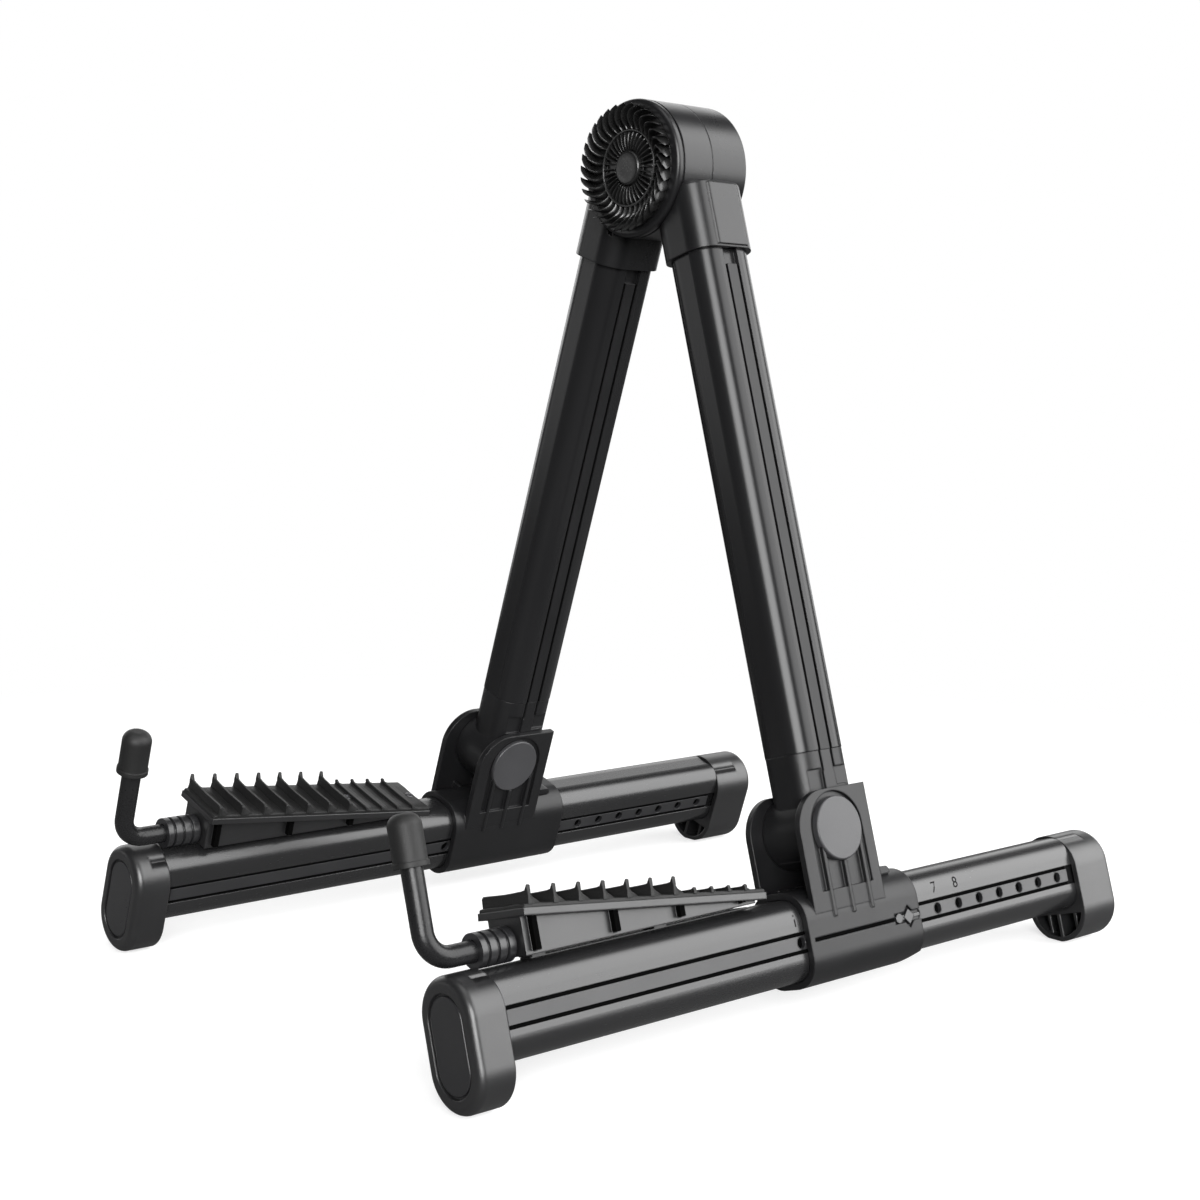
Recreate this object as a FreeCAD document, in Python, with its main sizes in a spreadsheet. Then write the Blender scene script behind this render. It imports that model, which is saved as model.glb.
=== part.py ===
import FreeCAD, Part
import os, re

# Folding A-frame stand for one guitar.  Millimetres, +Z up, floor at Z = 0.
# Two side frames cross at a hub whose axis runs front (-Y) to back (+Y).
# Each side frame is drawn in its own flat layout: n = distance outward from the
# middle plane, y = front to back, v = along the leg (0 at the hub axis).
# The layout is then swung out by the spread angle about the hub axis.
# side is -1 for left (-X), +1 for right (+X) and 0 for parts on the hub axis.

# Endings: _n, _y, _v positions in the layout; _w width; _h height; _t thickness;
# _r radius; _d depth, or the front-to-back size for the leg.
SIZE = {
    # placing of the layouts, and the n of the line that rail and leg share
    "spread": 17.5, "hub_z": 274.74, "y_off": -146.25, "rail_n": 13.5,
    # rail, its slots and the strips in them
    "rail_w": 20.5, "rail_top": -254.0, "rail_bot": -280.5, "rail_y0": 6.0, "rail_y1": 292.0,
    "corner": 7.5, "rail_wall": 3.2, "slot_h": 6.7, "slot_d": 1.7, "slot_v": -267.85,
    "strip_h": 4.4, "strip_t": 1.6, "strip_y0": 14.0, "strip_y1": 276.0,
    "hole_y": 133.52, "hole_pitch": 11.35, "hole_r": 1.75,
    # rail end caps and the front inlay panel
    "cap_w": 24.6, "cap_top": -253.1, "cap_bot": -292.1, "cap_y": 12.7,
    "rear_cap_y": 279.5, "rear_cap_end": 300.0, "cap_wall": 1.8, "cap_end_t": 4.0,
    "inlay_w": 14.6, "inlay_top": -258.6, "inlay_bot": -286.6,
    "inlay_gap": 0.8, "inlay_d": 1.2, "inlay_y": 0.25,
    # sleeve and the clevis on top of it
    "sleeve_y0": 135.5, "sleeve_y1": 189.5, "sleeve_wall": 2.3, "slide_gap": 0.1,
    "clevis_y0": 140.0, "clevis_y1": 174.0, "clevis_top": -221.3, "clevis_gap": 10.2,
    "back_t": 2.5, "hump_h": 1.6, "rib_t": 1.3,
    "pin_y": 157.5, "pin_v": -234.5, "pin_r": 4.0, "run_gap": 0.05,
    "disc_r": 10.5, "disc_t": 2.3, "disc_rise": 0.5, "sink": 1.1, "disc_gap": 1.7,
    # latch on the outer face of the sleeve
    "latch_y": 183.6, "latch_w": 3.6, "latch_seat_w": 5.4, "latch_sink": 1.0,
    "peg_r": 1.2, "peg_hole_r": 1.25,
    # leg tube and foot
    "leg_y": 161.5, "leg_d": 25.0, "leg_seam": -208.5, "leg_end": -25.5, "leg_wall": 2.6,
    "foot_half": 9.95, "foot_r": 12.0, "foot_step": 1.2, "spigot_gap": 0.1, "spigot_h": 14.0,
    # cradle brackets, axle, tray and pad
    "axle_v": -251.0, "axle_r": 1.3, "bracket_half": 2.6, "bracket_t": 5.0, "barrel_r": 2.3,
    "tray_w": 22.0, "tray_y0": 25.5, "tray_y1": 122.0, "tray_v": -239.0,
    "tray_t": 2.2, "tray_tilt": 6.4, "web_w": 4.6, "panel_in": 6.5, "panel_out": 7.7,
    "panel_v": -252.6, "gusset_half": 9.6, "gusset_t": 1.7,
    "pad_t": 1.2, "pad_margin": 0.3, "fin_t": 1.7, "fin_h": 4.0, "fin_low": 1.6,
    "fin_pitch": 9.3, "fin_sink": 0.3,
    # bent arm, its collar and its tip
    "arm_v": -248.5, "rod_r": 3.25, "bend_r": 8.0, "arm_y": -2.5, "arm_top": -211.0,
    "collar_r": 5.2, "groove_d": 0.9, "groove_w": 1.0,
    "tip_r": 5.0, "tip_bot": -222.4, "tip_top": -207.1,
    # hub
    "hub_r": 23.7, "hub_y0": 145.7, "hub_mid": 162.3, "hub_y1": 179.4, "hub_gap": 0.2,
    "hub_wall": 3.2, "boss_r": 9.0, "boss_gap": 1.4, "socket_gap": 0.4,
    "socket_w": 23.4, "socket_y0": 147.5, "socket_y1": 175.5,
    "socket_end": -36.0, "socket_top": -12.0,
    "bolt_r": 4.0, "head_r": 7.4, "head_d": 4.0, "nut_r": 7.2, "nut_seat_r": 7.6,
    "nut_t": 2.4, "washer_r": 8.6, "washer_t": 2.6,
    "pad_r": 20.4, "pad_y0": 141.4, "pad_d": 1.6,
    "cover_r": 17.0, "cover_d": 1.2, "cover_rise": 0.6, "seat_gap": 0.1,
}

# Formulas shared by several pieces
RAIL_HALF = "rail_w/2"
SLOT_FLOOR = "rail_w/2-slot_d"
SLEEVE_HALF = "(rail_w/2+sleeve_wall)"
SLEEVE_TOP = "(rail_top+sleeve_wall)"
SLEEVE_BOT = "(rail_bot-sleeve_wall)"
LATCH_N = "rail_n+rail_w/2+sleeve_wall-latch_sink"
PEG_Y = "(hole_y+4*hole_pitch)"
LEG_FRONT = "leg_y-leg_d/2"
LEG_BACK = "leg_y+leg_d/2"
DISC_SEAT_R = "(disc_r+disc_gap)"
TRAY_LENGTH = "(tray_y1-tray_y0)"
UNDER_TRAY = "tray_v+2"  # blanks reach here and are trimmed to the tray slope

SIDE_NAMES = {-1: "left", 1: "right"}
FACES = ("outer", "inner")
HOLE_COUNT = 13
RIB_PLACES = (-8.6, 0.4, 9.4)  # y from the clevis pin
BRACKET_STARTS = (32.0, 80.0)  # front faces, y
GUSSET_STARTS = (28.6, 59.0, 85.4, 111.5)  # front faces, y
GROOVE_STARTS = (15.2, 18.6, 22.0)  # front edges, y

doc = FreeCAD.newDocument("guitar_stand")
sheet = doc.addObject("Spreadsheet::Sheet", "Dims")
for row, (alias, value) in enumerate(SIZE.items(), 1):
    sheet.set(f"A{row}", alias)
    sheet.set(f"B{row}", "%g" % value)
    sheet.setAlias(f"B{row}", alias)
doc.recompute()

Vector, Rotation, Placement = FreeCAD.Vector, FreeCAD.Rotation, FreeCAD.Placement
X, Y, Z = Vector(1, 0, 0), Vector(0, 1, 0), Vector(0, 0, 1)
pieces = []


# ---- Shapes bound to the sheet ----

def bind(item, formulas):
    """Bind properties to formulas, with size names turned into sheet references."""
    for path, formula in formulas.items():
        linked = re.sub(r"[A-Za-z_]\w*",
                        lambda m: "Dims." + m[0] if m[0] in SIZE else m[0], formula)
        item.setExpression(path, linked)


def bind_base(item, x, y, z):
    bind(item, {"Placement.Base.x": x, "Placement.Base.y": y, "Placement.Base.z": z})


def block(n0, n1, y0, y1, v0, v1, side):
    """Block between outward distances n0 and n1."""
    item = doc.addObject("Part::Box", "Block")
    bind(item, {"Length": f"({n1})-({n0})", "Width": f"({y1})-({y0})",
                "Height": f"({v1})-({v0})"})
    bind_base(item, f"({n0})" if side > 0 else f"-({n1})", y0, v0)
    return item


def centred(half, y0, y1, v0, v1, side):
    """Block reaching half to each side of the rail line."""
    return block(f"rail_n-({half})", f"rail_n+({half})", y0, y1, v0, v1, side)


def on_slot(n0, n1, y0, y1, half, side):
    """Block reaching half above and below the middle of the rail slot."""
    return block(n0, n1, y0, y1, f"slot_v-{half}", f"slot_v+{half}", side)


def span(face, low, high):
    """n limits between two distances from the rail line, towards one face."""
    if face == "outer":
        return f"rail_n+({low})", f"rail_n+({high})"
    return f"rail_n-({high})", f"rail_n-({low})"


def rod(axis, radius, start, end, first, second, side=1):
    """Cylinder along n, y or v; first and second are its other two positions."""
    item = doc.addObject("Part::Cylinder", "Rod")
    bind(item, {"Radius": radius, "Height": f"({end})-({start})"})
    if axis == "n":
        item.Placement = Placement(Vector(), Rotation(Y, 90))
        bind_base(item, f"({start})" if side > 0 else f"-({end})", first, second)
    elif axis == "y":
        item.Placement = Placement(Vector(), Rotation(X, -90))
        bind_base(item, f"{side}*({first})", start, second)
    else:
        bind_base(item, f"{side}*({first})", second, start)
    return item


def hub_rod(radius, y0, y1):
    return rod("y", radius, y0, y1, "0", "0")


def pin_rod(radius, n0, n1, side):
    return rod("n", radius, n0, n1, "pin_y", "pin_v", side)


def turned(item, angle):
    """Turn a block about the X axis through its low front corner."""
    item.Placement = Placement(item.Placement.Base, Rotation(X, angle))
    return item


def fuse(*shapes):
    joined = doc.addObject("Part::MultiFuse", "Join")
    joined.Shapes = list(shapes)
    joined.Refine = True
    return joined


def cut(base, *tools):
    result = doc.addObject("Part::Cut", "Cut")
    result.Base = base
    result.Tool = tools[0] if len(tools) == 1 else fuse(*tools)
    result.Refine = True
    return result


def rounded(base, radius, pick):
    """Round the edges of base that pick() accepts."""
    doc.recompute()
    result = doc.addObject("Part::Fillet", "Round")
    result.Base = base
    result.Edges = [(number, radius, radius)
                    for number, edge in enumerate(base.Shape.Edges, 1) if pick(edge)]
    return result


def along(direction):
    """Pick straight edges parallel to direction."""
    def pick(edge):
        if not isinstance(edge.Curve, Part.Line):
            return False
        run = edge.Vertexes[1].Point.sub(edge.Vertexes[0].Point).normalize()
        return abs(run.dot(direction)) > 0.999
    return pick


def at_level(axis, level):
    """Pick edges lying in the plane axis = level."""
    def pick(edge):
        bounds = edge.BoundBox
        ends = getattr(bounds, axis + "Min"), getattr(bounds, axis + "Max")
        return all(abs(end - level) < 1e-3 for end in ends)
    return pick


def rail_bar(y0, y1, side, growth="0", radius=SIZE["corner"]):
    """Bar of the rail's section, grown all round."""
    return rounded(centred(f"rail_w/2+({growth})", y0, y1,
                           f"rail_bot-({growth})", f"rail_top+({growth})", side),
                   radius, along(Y))


def leg_bar(v0, v1, side, growth="0", radius=SIZE["corner"]):
    """Bar of the leg's section, grown all round."""
    return rounded(centred(f"rail_w/2+({growth})", f"{LEG_FRONT}-({growth})",
                           f"{LEG_BACK}+({growth})", v0, v1, side),
                   radius, along(Z))


def stadium(width, y0, y1, bottom, top, side, growth="0"):
    """Upright block with full round ends, centred on the rail line."""
    radius = f"({width})/2+({growth})"
    low, high = f"({bottom})+({width})/2", f"({top})-({width})/2"
    return fuse(centred(radius, y0, y1, low, high, side),
                rod("y", radius, y0, y1, "rail_n", low, side),
                rod("y", radius, y0, y1, "rail_n", high, side))


# ---- Placing ----

def swing(side):
    """Placement of one layout in the stand."""
    return Placement(Vector(0, SIZE["y_off"], SIZE["hub_z"]),
                     Rotation(Y, -SIZE["spread"] * side))


def floor_block(side):
    """Everything under the floor, seen in the layout."""
    width, depth = 500, 60
    item = doc.addObject("Part::Box", "Floor")
    item.Length, item.Width, item.Height = width, width, depth
    corner = Placement(Vector(-width / 2, -width / 2, -depth), Rotation())
    item.Placement = swing(side).inverse().multiply(corner)
    return item


def finish(item, label, side):
    """Name a piece, free its placement and swing it into the stand."""
    doc.recompute()
    item.Label = label
    here = Placement(item.Placement)
    for path, _ in list(item.ExpressionEngine):
        if "Placement" in path:
            item.setExpression(path.lstrip("."), None)
    item.Placement = swing(side).multiply(here)
    pieces.append((label, item))


def finish_side(item, stem, side):
    finish(item, f"{stem}_{SIDE_NAMES[side]}", side)


# ---- Rail ----

def rail(side):
    """Hollow extrusion with a shallow slot down each side face."""
    outer = rail_bar("rail_y0", "rail_y1", side)
    inner = rail_bar("rail_y0-1", "rail_y1+1", side, "-rail_wall",
                     SIZE["corner"] - SIZE["rail_wall"])
    slots = [on_slot(*span(face, SLOT_FLOOR, f"{RAIL_HALF}+1"),
                     "rail_y0-1", "rail_y1+1", "slot_h/2", side) for face in FACES]
    finish_side(cut(outer, inner, *slots), "rail", side)


def rail_strips(side):
    """Strips in the rail slots, each with a row of round stop holes."""
    for face in FACES:
        n0, n1 = span(face, SLOT_FLOOR, SLOT_FLOOR + "+strip_t")
        strip = on_slot(n0, n1, "strip_y0", "strip_y1", "strip_h/2", side)
        holes = [rod("n", "hole_r", n0 + "-1", n1 + "+1",
                     f"hole_y+{k}*hole_pitch", "slot_v", side) for k in range(HOLE_COUNT)]
        finish_side(cut(strip, *holes), f"rail_strip_{face}", side)


def front_cap(side):
    """Front end cap, flat on the floor, with a recessed stadium panel."""
    body = stadium("cap_w", "0", "cap_y", "cap_bot", "cap_top", side)
    body = rounded(body, 2.6, at_level("Y", 0.0))
    body = rounded(body, 0.8, at_level("Y", SIZE["cap_y"]))
    seat = rail_bar("rail_y0", "cap_y+1", side)
    recess = stadium("inlay_w", "-1", "inlay_d", "inlay_bot", "inlay_top", side, "inlay_gap")
    finish_side(cut(body, seat, recess, floor_block(side)), "front_cap", side)

    panel = stadium("inlay_w", "inlay_y", "inlay_d", "inlay_bot", "inlay_top", side)
    panel = rounded(panel, 0.5, at_level("Y", SIZE["inlay_y"]))
    finish_side(panel, "front_cap_panel", side)


def rear_cap(side):
    """Rear end cap: shell with ribbed pockets under the rail."""
    body = stadium("cap_w", "rear_cap_y", "rear_cap_end", "cap_bot", "cap_top", side)
    body = rounded(body, 2.6, at_level("Y", SIZE["rear_cap_end"]))
    seat = rail_bar("rear_cap_y-1", "rail_y1", side)
    hollow = stadium("cap_w", "rear_cap_y-1", "rear_cap_end-cap_end_t",
                     "cap_bot", "cap_top", side, "-cap_wall")
    shelf = centred("cap_w", "rear_cap_y-2", "rear_cap_end", "rail_bot-1.6", "cap_top+1", side)
    middle_rib = centred("0.7", "rear_cap_y-2", "rear_cap_end", "cap_bot", "cap_top", side)
    side_ribs = [block(*span(face, "5.2", "6.4"), "rear_cap_y+2", "rear_cap_end",
                       "cap_bot", "cap_top", side) for face in ("inner", "outer")]
    pocket = cut(hollow, shelf, middle_rib, *side_ribs)
    finish_side(cut(body, seat, pocket, floor_block(side)), "rear_cap", side)


# ---- Sleeve, clevis and latch ----

def clevis_cheek(face, side):
    """One cheek, with its upper front corner rounded."""
    def upper_front(edge):
        bounds = edge.BoundBox
        return (along(X)(edge) and bounds.YMax < SIZE["clevis_y0"] + 0.1
                and bounds.ZMin > SIZE["clevis_top"] - 0.1)
    cheek = block(*span(face, "clevis_gap", SLEEVE_HALF), "clevis_y0", "clevis_y1",
                  "rail_top-6", "clevis_top", side)
    return rounded(cheek, 13.0, upper_front)


def sleeve_hump(side):
    """Low step behind the clevis, rounded at its upper rear edge."""
    def upper_rear(edge):
        bounds = edge.BoundBox
        return (along(X)(edge) and bounds.YMin > SIZE["sleeve_y1"] - 7
                and bounds.ZMin > SIZE["rail_top"] + SIZE["sleeve_wall"] + 1)
    hump = centred("8", "clevis_y1-1", "sleeve_y1-6",
                   SLEEVE_TOP + "-1", SLEEVE_TOP + "+hump_h", side)
    return rounded(hump, 2.0, upper_rear)


def disc_seats(side):
    """Sunk ring round each pin disc, open below."""
    seats = []
    for face in FACES:
        n0, n1 = span(face, SLEEVE_HALF + "-sink", SLEEVE_HALF + "+4")
        seats.append(pin_rod(DISC_SEAT_R, n0, n1, side))
        seats.append(block(n0, n1, "pin_y-" + DISC_SEAT_R, "pin_y+" + DISC_SEAT_R,
                           "rail_top+0.4", "pin_v", side))
    return seats


def cheek_ribs(side):
    """Three upright ribs on each cheek face, cleared round the pin disc."""
    ribs = []
    for face, rise in (("outer", 0.5), ("inner", 0.4)):
        n0, n1 = span(face, "6", f"{SLEEVE_HALF}+{rise}")
        for place in RIB_PLACES:
            ribs.append(block(n0, n1, f"pin_y+{place}-rib_t/2", f"pin_y+{place}+rib_t/2",
                              "rail_top-8", "pin_v-4", side))
    inside = centred("clevis_gap", "clevis_y0-1", "clevis_y1-back_t",
                     SLEEVE_TOP, "clevis_top+5", side)
    return cut(fuse(*ribs), inside, pin_rod("disc_r+0.1", "rail_n-30", "rail_n+30", side))


def latch_diamond(n1, width, side):
    """Square block standing on one edge, from the latch seat out to n1."""
    low = f"slot_v-{width}*sqrt(0.5)"
    return turned(block(LATCH_N, n1, "latch_y", f"latch_y+{width}",
                        low, f"{low}+{width}", side), 45)


def sleeve(side):
    """Sleeve that slides on the rail, with the clevis for the leg."""
    ring = rail_bar("sleeve_y0", "sleeve_y1", side, "sleeve_wall",
                    SIZE["corner"] + SIZE["sleeve_wall"])
    cheeks = [clevis_cheek(face, side) for face in FACES]
    back = centred("clevis_gap+1", "clevis_y1-back_t", "clevis_y1",
                   SLEEVE_TOP + "-1", "pin_v-2", side)
    body = cut(fuse(ring, *cheeks, back, sleeve_hump(side)), *disc_seats(side))
    whole = fuse(body, cheek_ribs(side))

    bore = rail_bar("sleeve_y0-1", "sleeve_y1+1", side, "slide_gap",
                    SIZE["corner"] + SIZE["slide_gap"])
    pin_hole = pin_rod("pin_r", "rail_n-rail_w", "rail_n+rail_w", side)
    peg_hole = rod("n", "peg_hole_r", f"rail_n+{RAIL_HALF}-1", "rail_n+rail_w",
                   PEG_Y, "slot_v", side)
    # narrow groove along the outer face, wider at the rear
    outside = f"rail_n+{SLEEVE_HALF}+1"
    groove = fuse(on_slot(f"rail_n+{SLEEVE_HALF}-1.2", outside,
                          "sleeve_y0+2", "sleeve_y1-12", "0.6", side),
                  on_slot(LATCH_N, outside, "sleeve_y1-13", "sleeve_y1+1", "1.7", side))
    latch_seat = latch_diamond(LATCH_N + "+3", "latch_seat_w", side)
    # slopes the underside up towards the rear end
    wedge = turned(centred("20", "sleeve_y1-7", "sleeve_y1+7",
                           SLEEVE_BOT + "-6", SLEEVE_BOT, side), 18)
    finish_side(cut(whole, bore, pin_hole, peg_hole, groove, latch_seat, wedge),
                "sleeve", side)


def clevis_pin(side):
    """Pin through the cheeks and a rounded disc over each end."""
    half = SLEEVE_HALF + "-sink"
    finish_side(pin_rod("pin_r", f"rail_n-({half})", f"rail_n+({half})", side),
                "clevis_pin", side)

    sleeve_half = SIZE["rail_w"] / 2 + SIZE["sleeve_wall"]
    inner_n = SIZE["rail_n"] - sleeve_half - SIZE["disc_rise"]
    outer_n = SIZE["rail_n"] + sleeve_half - SIZE["sink"] + SIZE["disc_t"]
    # face, distance of the exposed side from the rail line, its n, rounding, name
    discs = (("inner", SLEEVE_HALF + "+disc_rise", inner_n, 0.5, "clevis_cap_inner"),
             ("outer", half + "+disc_t", outer_n, 0.6, "clevis_cap"))
    for face, reach, exposed_n, radius, stem in discs:
        disc = pin_rod("disc_r", *span(face, half, reach), side)
        finish_side(rounded(disc, radius, at_level("X", side * exposed_n)), stem, side)


def latch(side):
    """Lozenge button on a flat stem, with a peg through the sleeve wall."""
    button = latch_diamond(LATCH_N + "+1.1", "latch_w", side)
    stem = on_slot(LATCH_N, LATCH_N + "+0.8", PEG_Y + "-1.6", "latch_y", "0.8", side)
    nose = on_slot(LATCH_N, LATCH_N + "+0.8", "latch_y", "latch_y+5.7", "0.6", side)
    tab = rod("n", "1.6", LATCH_N, LATCH_N + "+0.9", PEG_Y, "slot_v", side)
    peg = rod("n", "peg_r", f"rail_n+{RAIL_HALF}+0.2", LATCH_N + "+0.5", PEG_Y, "slot_v", side)
    finish_side(fuse(button, stem, nose, tab, peg), "latch", side)


# ---- Leg ----

def leg_tube(side):
    """Hollow leg with a slot and a plain strip on both faces."""
    outer = leg_bar("leg_seam", "leg_end", side)
    inner = leg_bar("leg_seam-1", "leg_end+1", side, "-leg_wall",
                    SIZE["corner"] - SIZE["leg_wall"])
    slots = [block(*span(face, SLOT_FLOOR, f"{RAIL_HALF}+1"), "leg_y-slot_h/2",
                   "leg_y+slot_h/2", "leg_seam-1", "leg_end+1", side) for face in FACES]
    finish_side(cut(outer, inner, *slots), "leg_tube", side)
    for face in FACES:
        strip = block(*span(face, SLOT_FLOOR, SLOT_FLOOR + "+strip_t"), "leg_y-strip_h/2",
                      "leg_y+strip_h/2", "leg_seam", "leg_end-16", side)
        finish_side(strip, f"leg_strip_{face}", side)


def leg_foot(side):
    """Foot that carries on from the tube into the clevis."""
    head = rounded(centred("foot_half", LEG_FRONT, LEG_BACK, "pin_v", "leg_seam", side),
                   7.3, along(Z))
    tongue = centred("foot_half-foot_step", LEG_FRONT, "leg_y-1", "pin_v-9", "pin_v+1", side)
    knob = pin_rod("foot_r", "rail_n-foot_half", "rail_n+foot_half", side)
    spigot = leg_bar("leg_seam-1", "leg_seam+spigot_h", side, "-leg_wall-spigot_gap",
                     SIZE["corner"] - SIZE["leg_wall"] - SIZE["spigot_gap"])
    # two wide pockets, then two narrow grooves in line with the strip edges: y0, y1, v0, v1
    pockets = [("leg_y-9.8", "leg_y-2.6", "pin_v+13", "leg_seam-6"),
               ("leg_y+2.6", "leg_y+9.8", "pin_v+14", "leg_seam-6")]
    for k in (-1, 1):
        groove_y = f"leg_y+{k}*(slot_h+strip_h)/4"
        pockets.append((groove_y + "-0.55", groove_y + "+0.55", "leg_seam-7", "leg_seam+1"))
    tools = [block(*span(face, "foot_half-foot_step", "foot_half+1"), *limits, side)
             for face in FACES for limits in pockets]
    pin_hole = pin_rod("pin_r+run_gap", "0", "rail_n*2", side)
    finish_side(cut(fuse(head, tongue, knob, spigot), pin_hole, *tools), "leg_foot", side)


# ---- Cradle ----

def cradle_brackets(side):
    """Two posts on the rail top and the long axle through them."""
    posts = []
    for y0 in BRACKET_STARTS:
        y1 = f"{y0}+bracket_t"
        base = centred("bracket_half", f"{y0}", y1, "rail_top", "axle_v", side)
        top = rod("y", "barrel_r+0.1", f"{y0}", y1, "rail_n", "axle_v", side)
        hole = rod("y", "axle_r", f"{y0}-1", y1 + "+2", "rail_n", "axle_v", side)
        posts.append(cut(fuse(base, top), hole))
    spine = centred("bracket_half", "31.5", "120", "rail_top", "rail_top+0.5", side)
    finish_side(fuse(spine, *posts), "cradle_brackets", side)
    finish_side(rod("y", "axle_r", "31", "86", "rail_n", "axle_v", side), "cradle_axle", side)


def tray_block(half, start, length, low, height, side):
    """Block square to the tray; start and low are its distances along the tray
    from the front edge and above the tray top."""
    slope = Rotation(X, -SIZE["tray_tilt"])
    item = centred(half, "0", length, "0", height, side)
    for coordinate in "yz":
        item.setExpression("Placement.Base." + coordinate, None)
    lead = Vector(0, SIZE["tray_y0"], SIZE["tray_v"])
    item.Placement = Placement(lead.add(slope.multVec(Vector(0, start, low))), slope)
    return item


def cradle_tray(side):
    """Sloping tray on a wedge web that turns on the axle."""
    plate = tray_block("tray_w/2", 0.0, TRAY_LENGTH, -SIZE["tray_t"], "tray_t", side)
    above = tray_block("20", -20.0, "180", -1.0, "31", side)
    gaps = []
    for y0 in BRACKET_STARTS:
        gap_y0, gap_y1 = f"{y0}-0.5", f"{y0}+bracket_t+0.5"
        gaps.append(rod("y", "barrel_r+0.3", gap_y0, gap_y1, "rail_n", "axle_v", side))
        gaps.append(centred("4", gap_y0, gap_y1, "axle_v-8", "axle_v", side))

    web = centred("web_w/2", "30", "tray_y1-3", "axle_v", UNDER_TRAY, side)
    barrel = rod("y", "barrel_r", "30", "tray_y1-6", "rail_n", "axle_v", side)
    front_panel = centred("panel_out", "26.2", "30.2", "panel_v", UNDER_TRAY, side)
    side_panels = [block(*span(face, "panel_in", "panel_out"), "27", "tray_y1-3",
                         "panel_v", UNDER_TRAY, side) for face in FACES]
    gussets = [centred("gusset_half", f"{y0}", f"{y0}+gusset_t",
                       "axle_v-0.6", UNDER_TRAY, side) for y0 in GUSSET_STARTS]
    axle_hole = rod("y", "axle_r+run_gap", "30.4", "130", "rail_n", "axle_v", side)
    frame = cut(fuse(web, barrel, front_panel, *side_panels, *gussets),
                above, axle_hole, *gaps)
    neck_hole = rod("y", "3.05", "20", "30", "rail_n", "arm_v", side)
    finish_side(cut(fuse(plate, frame), neck_hole), "cradle_tray", side)


def cradle_pad(side):
    """Grip pad on the tray: seven tall fins, then four low ones."""
    half = "tray_w/2-pad_margin"
    parts = [tray_block(half, SIZE["pad_margin"], TRAY_LENGTH + "-2*pad_margin",
                        0.0, "pad_t", side)]
    fins = [(2.0 + k * SIZE["fin_pitch"], "fin_h") for k in range(7)]
    fins += [(66.0 + k * 7.2, "fin_low") for k in range(4)]
    for start, height in fins:
        parts.append(tray_block(half, start, "fin_t", SIZE["pad_t"] - SIZE["fin_sink"],
                                height + "+fin_sink", side))
    finish_side(fuse(*parts), "cradle_pad", side)


# ---- Arm ----

def arm_collar(side):
    """Grooved collar with a thin neck into the tray."""
    def ring(radius, y0, y1):
        return rod("y", radius, y0, y1, "rail_n", "arm_v", side)
    collar = fuse(ring("collar_r", "13.2", "25.4"), ring("3", "25", "29.4"))
    grooves = [cut(ring("collar_r+1", f"{y0}", f"{y0}+groove_w"),
                   ring("collar_r-groove_d", f"{y0}-1", f"{y0}+groove_w+1"))
               for y0 in GROOVE_STARTS]
    bore = ring("rod_r+run_gap", "0", "24")
    finish_side(cut(collar, bore, *grooves), "arm_collar", side)


def arm_rod(side):
    """Round rod running forward, then bent upward."""
    level = rod("y", "rod_r", "arm_y+bend_r", "23.4", "rail_n", "arm_v", side)
    bend = doc.addObject("Part::Torus", "Bend")
    bind(bend, {"Radius1": "bend_r", "Radius2": "rod_r"})
    bend.Angle3 = 90
    # quarter ring from its front, on the upright, down to its lowest point
    bend.Placement = Placement(FreeCAD.Matrix(
        0, 0, 1, side * SIZE["rail_n"],
        -1, 0, 0, SIZE["arm_y"] + SIZE["bend_r"],
        0, -1, 0, SIZE["arm_v"] + SIZE["bend_r"],
        0, 0, 0, 1))
    upright = rod("v", "rod_r", "arm_v+bend_r", "arm_top", "rail_n", "arm_y", side)
    finish_side(fuse(level, bend, upright), "arm_rod", side)


def arm_tip(side):
    """Soft tip with a domed top and a lip at its foot."""
    tube = rod("v", "tip_r", "tip_bot", "tip_top", "rail_n", "arm_y", side)
    tube = rounded(tube, 3.6, at_level("Z", SIZE["tip_top"]))
    lip = rod("v", "tip_r+0.35", "tip_bot", "tip_bot+1.6", "rail_n", "arm_y", side)
    bore = rod("v", "rod_r", "tip_bot-1", "arm_top", "rail_n", "arm_y", side)
    finish_side(cut(fuse(tube, lip), bore), "arm_tip", side)


# ---- Hub ----

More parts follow.
